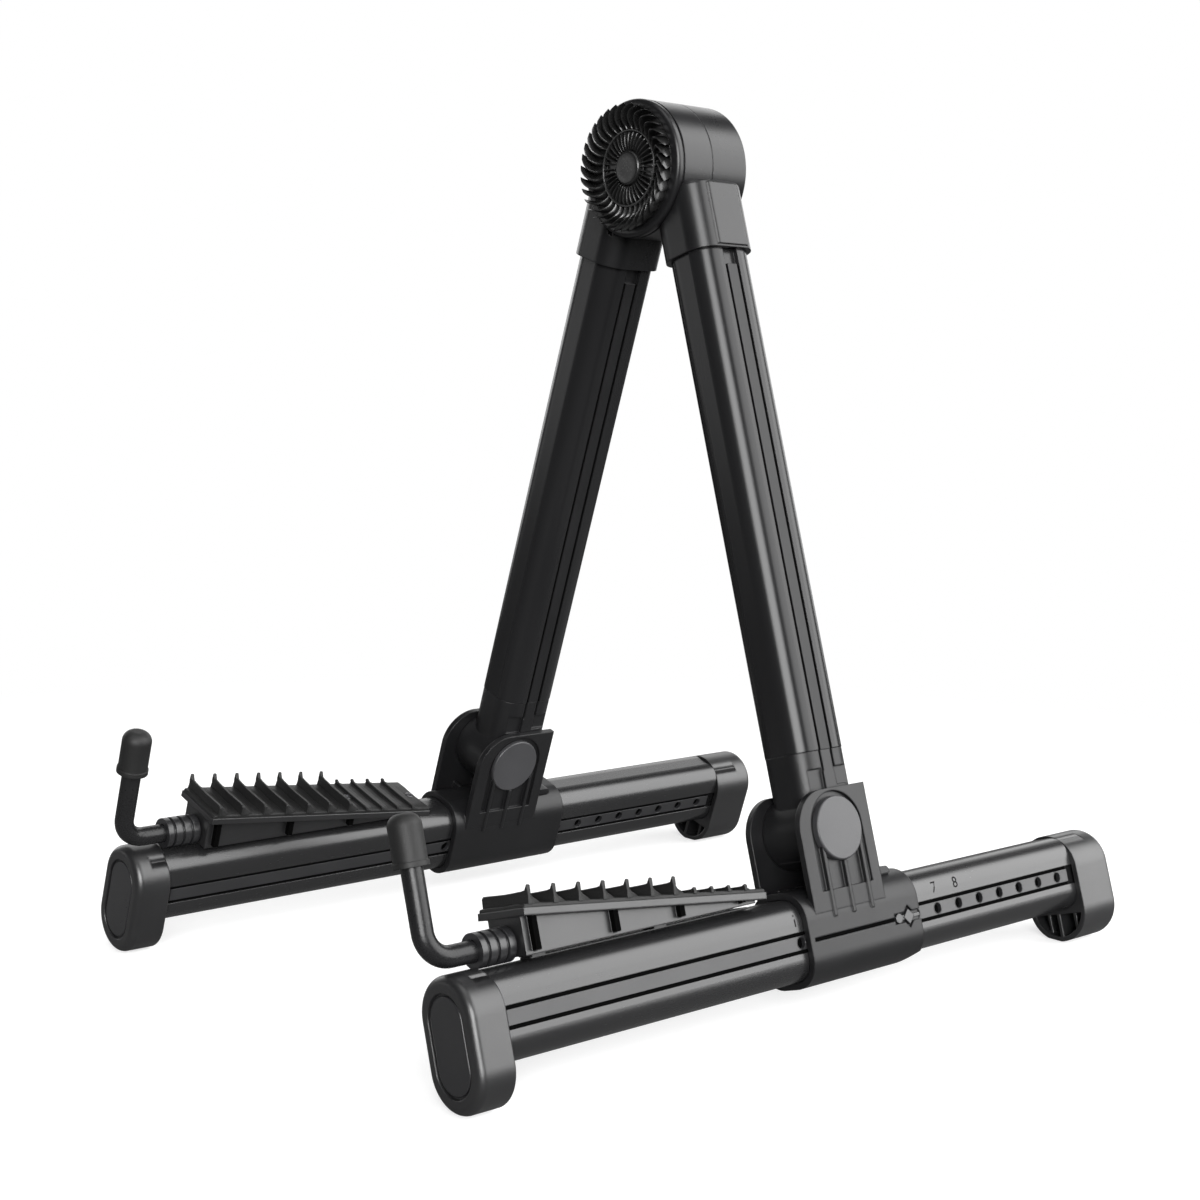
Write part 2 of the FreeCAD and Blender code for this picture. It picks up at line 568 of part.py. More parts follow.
def hub_half(side):
    """Drum half with the leg socket: front half on the left leg, rear on the right."""
    front = side < 0
    front_end, rear_start = "hub_mid-hub_gap/2", "hub_mid+hub_gap/2"
    y0, y1 = ("hub_y0", front_end) if front else (rear_start, "hub_y1")
    drum = rounded(hub_rod("hub_r", y0, y1), 1.6,
                   at_level("Y", SIZE["hub_y0" if front else "hub_y1"]))
    socket = rounded(centred("socket_w/2", "socket_y0", "socket_y1",
                             "socket_end", "socket_top", side), 8.2, along(Z))
    panel = rounded(block(*span("outer", "socket_w/2-3", "socket_w/2+0.7"),
                          "leg_y-7", "leg_y+8", "socket_end+0.8", "socket_top-1.5", side),
                    1.5, along(Z))
    socket = rounded(socket, 1.6, at_level("Z", SIZE["socket_top"]))
    if front:
        other_drum = hub_rod("hub_r+socket_gap", front_end, "hub_y1+5")
        room = hub_rod("hub_r-hub_wall", "hub_y0+6", "hub_mid+1")
        boss = hub_rod("boss_r", "hub_y0+5", "hub_mid-boss_gap")
        seat = hub_rod("pad_r+seat_gap", "hub_y0-1", "hub_y0+pad_d")
        # bolt head pocket and a groove round the rim
        head = fuse(hub_rod("head_r", "hub_y0", "hub_y0+head_d"),
                    cut(hub_rod("hub_r+2", "hub_y0+2.6", "hub_y0+3.5"),
                        hub_rod("hub_r-0.8", "hub_y0+1", "hub_y0+5")))
    else:
        other_drum = hub_rod("hub_r+socket_gap", "hub_y0-5", rear_start)
        room = hub_rod("hub_r-hub_wall", "hub_mid-1", "hub_y1-5.5")
        boss = hub_rod("boss_r", "hub_mid+boss_gap", "hub_y1-5")
        seat = hub_rod("cover_r+seat_gap", "hub_y1-cover_d", "hub_y1+1")
        head = hub_rod("nut_seat_r", "hub_y1-head_d", "hub_y1")
    cavity = leg_bar("socket_end-1", "leg_end", side)
    hull = fuse(drum, cut(fuse(socket, panel), other_drum))
    bolt_hole = hub_rod("bolt_r" if front else "bolt_r+run_gap", "hub_y0-5", "hub_y1+5")
    finish(cut(hull, cut(room, boss), cavity, seat, head, bolt_hole),
           "hub_front_half" if front else "hub_rear_half", side)


def hub_bolt():
    shank = hub_rod("bolt_r", "hub_y0+2", "hub_y1-1.4")
    head = hub_rod("head_r", "hub_y0+pad_d", "hub_y0+head_d")
    finish(fuse(shank, head), "hub_bolt", 0)


def hub_nut():
    nut = doc.addObject("Part::Prism", "Nut")
    nut.Polygon = 6
    nut.Placement = Placement(Vector(), Rotation(X, -90))
    bind(nut, {"Circumradius": "nut_r", "Height": "nut_t"})
    bind_base(nut, "0", "hub_y1-head_d", "0")
    finish(cut(nut, hub_rod("bolt_r", "hub_y1-6", "hub_y1")), "hub_nut", 0)


def hub_washer():
    disc = hub_rod("washer_r", "hub_mid-washer_t/2", "hub_mid+washer_t/2")
    finish(cut(disc, hub_rod("bolt_r", "hub_mid-3", "hub_mid+3")), "hub_friction_washer", 0)


def hub_grip_pad():
    """Front pad: raised rim, lower ring and a centre button."""
    rim = cut(hub_rod("pad_r", "pad_y0", "hub_y0+pad_d"),
              hub_rod("13.2", "pad_y0-1", "hub_y0-0.9"))
    ring = cut(hub_rod("12.9", "hub_y0-1.8", "hub_y0"),
               hub_rod("6.6", "hub_y0-4", "hub_y0-0.9"))
    finish(fuse(rim, ring, hub_rod("6", "hub_y0-2.4", "hub_y0")), "hub_grip_pad", 0)


def hub_rear_cover():
    cover = hub_rod("cover_r", "hub_y1-cover_d", "hub_y1+cover_rise")
    rear = at_level("Y", SIZE["hub_y1"] + SIZE["cover_rise"])
    finish(rounded(cover, 0.5, rear), "hub_rear_cover", 0)


# ---- Build and export ----

for side in SIDE_NAMES:
    for build in (rail, rail_strips, front_cap, rear_cap, sleeve, clevis_pin, latch,
                  leg_tube, leg_foot, cradle_brackets, cradle_tray, cradle_pad,
                  arm_collar, arm_rod, arm_tip, hub_half):
        build(side)
for build in (hub_bolt, hub_nut, hub_washer, hub_grip_pad, hub_rear_cover):
    build()

doc.recompute()
os.makedirs("parts", exist_ok=True)
for label, item in pieces:
    if "Invalid" in item.State or "Error" in item.State:
        raise RuntimeError("bad state: " + label)
    shape = item.Shape
    if shape.isNull() or not shape.isValid() or not shape.Solids:
        raise RuntimeError("bad shape: " + label)
    if len(shape.Solids) == 1 and shape.ShapeType != "Solid":
        shape = shape.Solids[0]
    shape.exportStep(f"parts/{label}.step")
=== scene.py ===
"""The hub sits at the top on the centre plane. A leg runs down and outward from it on each side,
with a sleeve, a level rail and a tilted cradle tray low down. In the world +X is right,
+Y is back and +Z is up. Layout sizes are in millimetres and are turned to metres by the
point functions; material, floor and light sizes are in metres.
"""
import math

import bmesh
import bpy
from mathutils import Matrix, Vector


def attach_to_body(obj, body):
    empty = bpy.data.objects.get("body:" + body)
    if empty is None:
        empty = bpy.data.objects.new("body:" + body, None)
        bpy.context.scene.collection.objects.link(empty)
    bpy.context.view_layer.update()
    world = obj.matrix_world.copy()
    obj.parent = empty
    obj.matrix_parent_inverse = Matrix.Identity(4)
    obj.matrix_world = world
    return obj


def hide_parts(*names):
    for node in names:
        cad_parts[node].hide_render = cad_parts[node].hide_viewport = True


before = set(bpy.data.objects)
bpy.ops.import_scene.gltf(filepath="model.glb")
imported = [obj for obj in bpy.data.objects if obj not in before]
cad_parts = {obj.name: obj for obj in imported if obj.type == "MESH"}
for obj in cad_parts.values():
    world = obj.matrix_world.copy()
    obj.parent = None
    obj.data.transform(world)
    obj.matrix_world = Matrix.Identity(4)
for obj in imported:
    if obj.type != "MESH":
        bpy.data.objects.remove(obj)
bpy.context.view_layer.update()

# ------------------------------------------------------------------ layout
MM = 0.001
SPREAD = math.radians(17.5)     # lean of each leg from upright
HUB_Z = 274.74                  # height of the hub axis
Y_SHIFT = -146.25               # layout y to world y
SIDE_OFFSET = 13.5              # side frame's origin to the mid-plane of rail and leg
SIDES = (("left", -1), ("right", 1))
FACES = (1, -1)                 # outer and inner face of a rail or leg

FACE_N = 10.25                  # mid-plane of a rail or leg to its flat faces
RAIL_V = -267.85                # centre line of the rail
LEG_Y = 161.5                   # centre line of the leg


def side_point(sign, n, y, v):
    """Side frame: n outward from the mid-plane, y to the back, v up the leg (0 at the hub)."""
    n += SIDE_OFFSET
    return Vector((sign * (-math.sin(SPREAD) * v + math.cos(SPREAD) * n) * MM,
                   (y + Y_SHIFT) * MM,
                   (math.cos(SPREAD) * v + math.sin(SPREAD) * n + HUB_Z) * MM))


def rail_point(sign, n, across, along):
    """The side frame with its last two arguments swapped: along is y, across is v."""
    return side_point(sign, n, along, across)


def hub_point(radius, angle, y):
    """Polar coordinates about the hub axis, which runs front to back."""
    return Vector((radius * math.cos(angle) * MM, (y + Y_SHIFT) * MM,
                   (HUB_Z + radius * math.sin(angle)) * MM))


# --------------------------------------------------------------- node helpers
def empty_tree(owner):
    owner.use_nodes = True
    owner.node_tree.nodes.clear()
    return owner.node_tree


def add_node(tree, kind, inputs=None, **settings):
    """Adds a shader node, then sets its properties and its unlinked inputs."""
    node = tree.nodes.new("ShaderNode" + kind)
    for name, value in settings.items():
        setattr(node, name, value)
    for socket, value in (inputs or {}).items():
        node.inputs[socket].default_value = value
    return node


def add_sum(tree, first, second):
    """Adds two outputs and returns the sum."""
    node = add_node(tree, "Math", operation="ADD")
    tree.links.new(first, node.inputs[0])
    tree.links.new(second, node.inputs[1])
    return node.outputs[0]


# Sockets of a Mix node set to colours
MIX_FACTOR, MIX_A, MIX_B, MIX_RESULT = 0, 6, 7, 2


# --------------------------------------------------------------- materials
def material(name, base, rough, grain, bump, edge, metallic=0.0, spec=0.5,
             rough_var=0.08, tint_var=0.25, stretch=(1, 1, 1), fine=4000.0):
    """Moulded or drawn surface with drifting tone and roughness, fine relief and soft edges.

    grain and fine are the scales of the noise and the specks, bump the strength of the relief,
    edge the radius in metres of the softened edges, and rough_var and tint_var the drift to
    either side of rough and, as a fraction, of base. stretch scales the pattern on each axis.
    """
    mat = bpy.data.materials.new(name)
    tree = empty_tree(mat)
    link = tree.links.new
    output = add_node(tree, "OutputMaterial")
    surface = add_node(tree, "BsdfPrincipled", {"Metallic": metallic, "Specular IOR Level": spec})
    link(surface.outputs["BSDF"], output.inputs["Surface"])

    coords = add_node(tree, "TexCoord")
    mapping = add_node(tree, "Mapping", {"Scale": stretch})
    drift = add_node(tree, "TexNoise", {"Scale": 60.0, "Detail": 5.0})
    grains = add_node(tree, "TexNoise", {"Scale": grain, "Detail": 6.0})
    specks = add_node(tree, "TexVoronoi", {"Scale": fine})
    link(coords.outputs["Object"], mapping.inputs["Vector"])
    for texture in (drift, grains, specks):
        link(mapping.outputs["Vector"], texture.inputs["Vector"])

    # colour: a slow drift in tone
    tone = add_node(tree, "Mix", {MIX_A: [c * (1 - tint_var) for c in base] + [1],
                                  MIX_B: [c * (1 + tint_var) for c in base] + [1]},
                    data_type="RGBA")
    link(drift.outputs["Fac"], tone.inputs[MIX_FACTOR])
    link(tone.outputs[MIX_RESULT], surface.inputs["Base Color"])

    # roughness: the mean of drift and grain
    spread = add_node(tree, "MapRange", {"From Min": 0.3, "From Max": 0.7,
                                         "To Min": rough - rough_var,
                                         "To Max": rough + rough_var})
    both = add_sum(tree, drift.outputs["Fac"], grains.outputs["Fac"])
    mean = add_node(tree, "Math", {1: 0.5}, operation="MULTIPLY")
    link(both, mean.inputs[0])
    link(mean.outputs[0], spread.inputs["Value"])
    link(spread.outputs["Result"], surface.inputs["Roughness"])

    # relief: grain and specks over a softened edge
    height = add_sum(tree, grains.outputs["Fac"], specks.outputs["Distance"])
    relief = add_node(tree, "Bump", {"Strength": bump, "Distance": 0.0002})
    soft_edge = add_node(tree, "Bevel", {"Radius": edge}, samples=6)
    link(height, relief.inputs["Height"])
    link(soft_edge.outputs["Normal"], relief.inputs["Normal"])
    link(relief.outputs["Normal"], surface.inputs["Normal"])
    return mat


LOOKS = {
    # black anodised tube, its grain drawn out along the tube
    "anodised_rail": dict(base=(0.012, 0.012, 0.0125), rough=0.26, rough_var=0.025, tint_var=0.1,
                          metallic=0.15, spec=0.7, bump=0.008, stretch=(1, 0.1, 1),
                          grain=2200, edge=0.0004),
    # painted shade: a darker, less shiny copy of the rail's anodised finish, to tone down the
    # light on the legs' outer faces
    "anodised_leg_shaded_copy": dict(base=(0.010, 0.010, 0.0105), rough=0.22, rough_var=0.02, tint_var=0.1,
                         spec=0.26, bump=0.004, stretch=(1, 1, 0.1), grain=2200, edge=0.0004),
    # strips set in the tubes
    "strip": dict(base=(0.016, 0.016, 0.017), rough=0.36, bump=0.05, grain=1600, edge=0.0002),
    # painted shade: a darker copy of the strip colour for the legs, to tone down the light on
    # their outer faces
    "leg_strip": dict(base=(0.009, 0.009, 0.0095), rough=0.36, bump=0.05, spec=0.22,
                      grain=1600, edge=0.0002),
    # shells and covers
    "shell": dict(base=(0.010, 0.010, 0.0105), rough=0.36, rough_var=0.05, bump=0.06, spec=0.65,
                  grain=1400, edge=0.0007),
    "sleeve_shell": dict(base=(0.007, 0.007, 0.0075), rough=0.38, rough_var=0.05, bump=0.07,
                         spec=0.30, grain=1400, edge=0.0007),
    "hub_shell": dict(base=(0.008, 0.008, 0.0085), rough=0.30, rough_var=0.04, bump=0.04,
                      spec=0.34, grain=1400, edge=0.0006),
    "panel": dict(base=(0.014, 0.014, 0.015), rough=0.30, rough_var=0.03, bump=0.02, spec=0.55,
                  grain=1200, edge=0.0004),
    "disc": dict(base=(0.034, 0.034, 0.036), rough=0.40, bump=0.06, spec=0.45,
                 grain=1500, edge=0.0004),
    "rod": dict(base=(0.009, 0.009, 0.0095), rough=0.28, bump=0.12, spec=0.28,
                grain=900, edge=0.0003, fine=1800),
    # soft parts
    "soft": dict(base=(0.009, 0.009, 0.009), rough=0.55, bump=0.16, spec=0.32,
                 grain=1700, edge=0.0004, fine=2600),
    "grip": dict(base=(0.008, 0.008, 0.008), rough=0.30, bump=0.06, spec=0.6,
                 grain=1800, edge=0.00025),
    "steel": dict(base=(0.10, 0.10, 0.105), rough=0.33, metallic=0.9, bump=0.05,
                  grain=1500, edge=0.0003),
    # painted shade: near-black for unlit recesses; and the printed numbers
    "painted_shade_black": dict(base=(0.0012, 0.0012, 0.0012), rough=0.9, bump=0.02, spec=0.02,
                 grain=1500, edge=0.00005),
    "print": dict(base=(0.002, 0.002, 0.002), rough=0.85, bump=0.02, spec=0.2,
                  grain=1500, edge=0.00005),
}
MATERIALS = {name: material(name, **look) for name, look in LOOKS.items()}

# CAD piece name prefix, material; the first match wins
PIECE_MATERIALS = [
    # the legs' strips and tubes take darker copies of the rail materials, as painted shade
    ("rail_strip", "strip"), ("leg_strip", "leg_strip"),
    ("rail_", "anodised_rail"), ("leg_tube", "anodised_leg_shaded_copy"),
    ("front_cap_panel", "panel"), ("front_cap", "shell"), ("rear_cap", "shell"),
    ("sleeve", "sleeve_shell"), ("clevis_pin", "steel"), ("clevis_cap", "disc"),
    ("latch", "panel"), ("leg_foot", "sleeve_shell"),
    ("cradle_brackets", "rod"), ("cradle_axle", "steel"),
    ("cradle_tray", "shell"), ("cradle_pad", "soft"),
    ("arm_collar", "panel"), ("arm_rod", "rod"), ("arm_tip", "soft"),
    ("hub_grip_pad", "grip"), ("hub_rear_cover", "panel"), ("hub_bolt", "steel"),
    ("hub_nut", "steel"), ("hub_friction", "strip"), ("hub_", "hub_shell"),
]
for piece_name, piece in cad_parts.items():
    for prefix, key in PIECE_MATERIALS:
        if piece_name.startswith(prefix):
            piece.data.materials.clear()
            piece.data.materials.append(MATERIALS[key])
            break


# ------------------------------------------------------------ mesh helpers
def make(name, bm, mat, sharp_angle=None):
    """Turns a bmesh into an object; smooth below sharp_angle degrees, flat if none is given."""
    bmesh.ops.remove_doubles(bm, verts=bm.verts, dist=1e-7)
    bmesh.ops.recalc_face_normals(bm, faces=bm.faces)
    mesh = bpy.data.meshes.new(name)
    bm.to_mesh(mesh)
    bm.free()
    mesh.materials.append(MATERIALS[mat])
    ob = bpy.data.objects.new(name, mesh)
    bpy.context.scene.collection.objects.link(ob)
    if sharp_angle is not None:
        mesh.shade_smooth()
        mesh.set_sharp_from_angle(angle=math.radians(sharp_angle))
    return ob


def attach(ob, carrier, replaced=None):
    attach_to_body(ob, carrier)
    if replaced:
        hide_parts(replaced)


def add_ring(bm, points):
    return [bm.verts.new(p) for p in points]


def join(bm, first, second):
    """Quads between two closed rings of vertices."""
    count = len(first)
    for i in range(count):
        j = (i + 1) % count
        bm.faces.new((first[i], first[j], second[j], second[i]))


def skin(bm, rings):
    """Joins rings of points (same count each) into a tube and closes its ends."""
    rows = [add_ring(bm, ring) for ring in rings]
    for first, second in zip(rows, rows[1:]):
        join(bm, first, second)
    bm.faces.new(list(reversed(rows[0])))
    bm.faces.new(rows[-1])


def lathe(bm, profile, steps=128):
    """Turns (radius, y) pairs about the hub axis; both ends lie on the axis."""
    angles = [2 * math.pi * i / steps for i in range(steps)]
    rows = [add_ring(bm, [hub_point(radius, angle, y) for angle in (angles if radius else [0])])
            for radius, y in profile]
    for i in range(steps):
        bm.faces.new((rows[0][0], rows[1][(i + 1) % steps], rows[1][i]))
    for first, second in zip(rows[1:-1], rows[2:-1]):
        join(bm, first, second)
    for i in range(steps):
        bm.faces.new((rows[-2][i], rows[-2][(i + 1) % steps], rows[-1][0]))


def unit_circle(count):
    return [(math.cos(2 * math.pi * i / count), math.sin(2 * math.pi * i / count))
            for i in range(count)]


def bar(bm, sign, depths, centre, half_width, ends, point=rail_point):
    """A straight bar between two n depths, lying along the rail or, with side_point, the leg."""
    low, high = centre - half_width, centre + half_width
    section = ((depths[0], low), (depths[0], high), (depths[1], high), (depths[1], low))
    skin(bm, [[point(sign, n, across, along) for n, across in section] for along in ends])


# ------------------------------------------------- hub: spiral-finned pad
PAD_Y = 145.7       # reference plane of the pad; its relief stands forward, towards -y
RIB_COUNT = 36
FIN_COUNT = 34
FIN_STEPS = 16
FIN_START = 13.3    # radius of the fins' inner ends
FIN_RUN = 7.3       # radial reach of the fins

# radius, y from PAD_Y
PAD_PROFILE = [
    (0, -1.9), (3.0, -1.95), (5.0, -2.05), (5.6, -1.9), (5.9, -1.3), (6.0, -0.2), (6.4, 0.3),
    (12.4, 0.3), (12.5, -1.0), (12.7, -1.3), (13.15, -1.3), (13.35, -1.0), (13.4, 0.1),
    (19.9, 0.1), (20.35, -0.1), (20.4, 1.4), (0, 1.4),
]
# radius, height, half width
RIB_STATIONS = [(6.1, 0.9, 0.17), (6.7, 1.5, 0.20), (8.6, 1.75, 0.26),
                (10.9, 1.7, 0.34), (12.0, 1.45, 0.36), (12.6, 0.9, 0.34)]


def hub_pad_base():
    bm = bmesh.new()
    lathe(bm, [(radius, PAD_Y + y) for radius, y in PAD_PROFILE])
    return make("hub_pad_base", bm, "grip", sharp_angle=50)


def hub_pad_ribs():
    """Straight radial ribs on the inner band of the pad."""
    bm = bmesh.new()
    for i in range(RIB_COUNT):
        angle = 2 * math.pi * i / RIB_COUNT
        rings = []
        for radius, height, half_width in RIB_STATIONS:
            half = half_width / radius
            root, top = PAD_Y + 0.3, PAD_Y - height
            # share of the half angle, y
            section = ((-1, root), (-0.9, top + 0.25), (-0.45, top),
                       (0.45, top), (0.9, top + 0.25), (1, root))
            rings.append([hub_point(radius, angle + half * share, y) for share, y in section])
        skin(bm, rings)
    return make("hub_pad_ribs", bm, "grip", sharp_angle=60)


def fin_ring(start_angle, t):
    """Section of a fin at t, from 0 at its inner end to 1 at its outer end."""
    radius = FIN_START + FIN_RUN * t
    # an S: out, then hooked back
    angle = start_angle + 0.10 * math.sin(math.pi * t) - 0.20 * t ** 1.6
    taper = 1.0 if t < 0.85 else max(0.35, (1.06 - t) / 0.21)
    half = (0.50 + 0.30 * math.sin(math.pi * t)) * taper / radius
    height = (1.3 + 3.5 * math.sin(0.5 * math.pi * min(1.0, t * 1.15)) ** 1.6
              - 0.9 * max(0.0, t - 0.88) / 0.12)
    lean = -0.07 * t        # the crest turns about the hub
    flare = 1.3 * t ** 2    # and moves outward
    root = PAD_Y + 0.4
    middle = PAD_Y - height * 0.55
    crest = PAD_Y - height
    # share of the half angle, share of lean and flare, y
    section = ((-1, 0, root), (-0.8, 0.5, middle), (-0.45, 1, crest + 0.18), (0, 1, crest),
               (0.45, 1, crest + 0.18), (0.8, 0.5, middle), (1, 0, root))
    return [hub_point(radius + bend * flare, angle + half * share + lean * bend, y)
            for share, bend, y in section]


def hub_pad_fins():
    """Curved fins on the outer band of the pad."""
    bm = bmesh.new()
    for i in range(FIN_COUNT):
        start_angle = 2 * math.pi * i / FIN_COUNT
        skin(bm, [fin_ring(start_angle, k / FIN_STEPS) for k in range(FIN_STEPS + 1)])
    return make("hub_pad_fins", bm, "grip", sharp_angle=50)


# --------------------------------------------------- cradle: ribbed tray pads
TILT = math.radians(6.4)    # the tray falls towards the back
TRAY_Y, TRAY_V = 25.5, -239.0   # front edge of the tray face
TRAY_LENGTH = 96.5
PAD_HALF = 10.75            # half width of the pad
RIB_ROOT, RIB_FOOT = 0.8, 1.1   # heights of a rib's underside and of its foot

# n, height
TRAY_PAD_SECTION = [
    (-PAD_HALF, 0.0), (-PAD_HALF, 0.9), (-PAD_HALF + 0.35, 1.2), (-6.0, 1.3), (0.0, 1.05),
    (6.0, 1.3), (PAD_HALF - 0.35, 1.2), (PAD_HALF, 0.9), (PAD_HALF, 0.0),
]
# distance from the front edge, fullness of the section (0 to 1)
TRAY_PAD_STATIONS = [
    (0.25, 0.0), (0.5, 0.8), (1.2, 1.0),
    (TRAY_LENGTH - 1.2, 1.0), (TRAY_LENGTH - 0.5, 0.8), (TRAY_LENGTH - 0.25, 0.0),
]
# distance from the front edge, rise, length front to back: seven tall ribs, then four low
TRAY_RIBS = ([(2.0 + 9.3 * k, 3.6, 6.6) for k in range(7)]
             + [(66.0 + 7.2 * k, 1.2, 4.6) for k in range(4)])
# n, share of rise, share of length
TRAY_RIB_STATIONS = [
    (-10.95, 0.10, 0.30), (-10.75, 0.85, 0.45), (-10.2, 1.0, 0.8), (-8.0, 1.0, 1.0),
    (-4.0, 0.96, 1.0), (0.0, 0.94, 1.0), (4.0, 0.96, 1.0), (8.0, 1.0, 1.0),
    (9.6, 1.06, 0.85), (10.4, 1.35, 0.45), (10.8, 1.5, 0.22), (10.95, 0.9, 0.12),
]

SCREW_PLACES = (64.4, 94.0)     # distances from the front edge
SCREW_STEPS, SOCKET_SIDES = 24, 6
SOCKET_RADIUS, SOCKET_FLOOR, SOCKET_MOUTH = 0.8, 1.25, 1.55
SCREW_HEAD = [(1.1, 1.5), (1.55, 1.3), (1.75, 1.0), (1.75, 0.8)]    # radius, height

GUSSET_FRONTS = (28.6, 59.0, 85.4, 111.5)   # y
GUSSET_DEPTHS = (7.78, 9.72)                # n
GUSSET_BASE_V = -251.4
GUSSET_TOP_V = -241.35      # at the tray's front edge
GUSSET_FALL = 0.1122        # drop of the top per mm towards the back


def tray_point(sign, n, along, height):
    """along runs back from the tray's front edge, height is measured up from its face."""
    y = TRAY_Y + along * math.cos(TILT) + height * math.sin(TILT)
    v = TRAY_V - along * math.sin(TILT) + height * math.cos(TILT)
    return side_point(sign, n, y, v)


def tray_pad_base(side, sign):
    bm = bmesh.new()
    skin(bm, [[tray_point(sign, n * (0.97 + 0.03 * full), along, height * (0.35 + 0.65 * full))
               for n, height in TRAY_PAD_SECTION] for along, full in TRAY_PAD_STATIONS])
    return make("tray_pad_base_" + side, bm, "soft", sharp_angle=40)


def tray_pad_ribs(side, sign):
    """Cross ribs like shingles: a steep front face and a long slope behind."""
    bm = bmesh.new()
    for start, full_rise, full_length in TRAY_RIBS:
        rings = []
        for n, rise_share, length_share in TRAY_RIB_STATIONS:
            rise = full_rise * rise_share
            top = RIB_FOOT + rise
            length = max(0.9, full_length * length_share)
            # distance from the rib's start, height
            section = (
                (-0.15, RIB_ROOT), (-0.05, RIB_FOOT + rise * 0.55),
                (-0.35 * rise_share, top - 0.2), (-0.15 * rise_share, top),
                (0.55, top - 0.05), (0.9, top - 0.3),
                (0.35 + length * 0.32, RIB_FOOT + rise * 0.52),
                (0.5 + length * 0.62, RIB_FOOT + rise * 0.26),
                (length, 0.95), (length, RIB_ROOT),
            )
            rings.append([tray_point(sign, n, start + step, height) for step, height in section])
        skin(bm, rings)
    return make("tray_pad_ribs_" + side, bm, "soft", sharp_angle=40)


def tray_screw(side, sign, place):
    """A small domed screw with a six-sided socket, on the pad's centre line."""
    bm = bmesh.new()

    def ring(radius, height, count):
        return add_ring(bm, [tray_point(sign, radius * c, place + radius * s, height)
                             for c, s in unit_circle(count)])

    centre = bm.verts.new(tray_point(sign, 0, place, SOCKET_FLOOR))
    floor_ring = ring(SOCKET_RADIUS, SOCKET_FLOOR, SOCKET_SIDES)
    mouth = ring(SOCKET_RADIUS, SOCKET_MOUTH, SOCKET_SIDES)
    head = [ring(radius, height, SCREW_STEPS) for radius, height in SCREW_HEAD]
    for i in range(SOCKET_SIDES):
        bm.faces.new((centre, floor_ring[i], floor_ring[(i + 1) % SOCKET_SIDES]))
    join(bm, floor_ring, mouth)
    share = SCREW_STEPS // SOCKET_SIDES     # head edges that meet each side of the socket
    for i in range(SOCKET_SIDES):
        arc = [head[0][(share * i + j) % SCREW_STEPS] for j in range(share + 1)]
        bm.faces.new([mouth[i]] + arc + [mouth[(i + 1) % SOCKET_SIDES]])
    for first, second in zip(head, head[1:]):
        join(bm, first, second)
    return make("tray_screw_%s_%d" % (side, int(place)), bm, "steel", sharp_angle=30)


def tray_gusset_shade(side, sign):
    """Painted shade: near-black faces over the gussets under the tray, standing in for their
    shadow.
    """
    bm = bmesh.new()
    for face in FACES:
        for gusset_y in GUSSET_FRONTS:
            front, back = gusset_y - 0.12, gusset_y + 1.82
            section = [(y, GUSSET_BASE_V) for y in (front, back)]
            section += [(y, GUSSET_TOP_V - GUSSET_FALL * (y - TRAY_Y)) for y in (back, front)]
            skin(bm, [[side_point(sign, face * n, y, v) for y, v in section]
                      for n in GUSSET_DEPTHS])
    return make("tray_gusset_shade_" + side, bm, "painted_shade_black")


# --------------------------------------------------- rail, leg and sleeve
CHANNEL_WIDTH, STRIP_WIDTH = 6.7, 4.4
GAP_CENTRE = (CHANNEL_WIDTH + STRIP_WIDTH) / 4      # channel centre to middle of each gap
GAP_HALF = 0.52
GAP_DEPTHS = (FACE_N - 1.7 + 0.06, FACE_N - 0.42)   # just off the channel floor, below the face
RAIL_GAP_ENDS = (14.2, 275.8)       # y
LEG_GAP_ENDS = (-208.3, -41.7)      # v

POINTER_DEPTHS = (11.38, 12.15)
POINTER_HALF = 0.51
POINTER_ENDS = (137.7, 176.3)       # y

HOLE_COUNT = 13
HOLE_STEPS = 24
FIRST_HOLE_Y, HOLE_PITCH = 133.52, 11.35
HOLE_RADIUS = 1.7
HOLE_FLOOR_DEPTHS = (8.62, 8.75)
# radius, n
LIP_SECTION = [(1.80, 10.10), (1.84, 10.17), (1.95, 10.21), (2.08, 10.18), (2.14, 10.10)]

NUMBER_COUNT = 8
NUMBER_SIZE = 5.4
FIRST_NUMBER_Y = 132.2      # the first number stands a little forward of its hole
NUMBER_V = -263.6           # foot of the numbers
NUMBER_LIFT = 0.035         # above the rail surface
SHOULDER_V, SHOULDER_RADIUS = -261.5, 7.5   # where the rail's rounded shoulder starts


def gap_shade_lines(side, sign, tube, centre, ends, point):
    """Painted shade: near-black bars in the gaps beside the strips of a rail or leg, standing in
    for the shadow in the gaps.
    """
    bm = bmesh.new()
    for face in FACES:
        for edge in (-1, 1):
            bar(bm, sign, [face * n for n in GAP_DEPTHS], centre + edge * GAP_CENTRE,
                GAP_HALF, ends, point)
    attach(make(tube + "_gap_shade_lines_" + side, bm, "painted_shade_black"), side + "_" + tube)


def pointer_line_shade(side, sign):
    """Painted shade: a near-black floor in the line on the sleeve, standing in for the shade in
    its groove.
    """
    bm = bmesh.new()
    bar(bm, sign, POINTER_DEPTHS, RAIL_V, POINTER_HALF, POINTER_ENDS)
    return make("pointer_line_shade_" + side, bm, "painted_shade_black")


def hole_ring(sign, face, hole, radius, n):
    """Points round a stop hole of the rail."""
    hole_y = FIRST_HOLE_Y + HOLE_PITCH * hole
    return [side_point(sign, face * n, hole_y + radius * c, RAIL_V + radius * s)
            for c, s in unit_circle(HOLE_STEPS)]


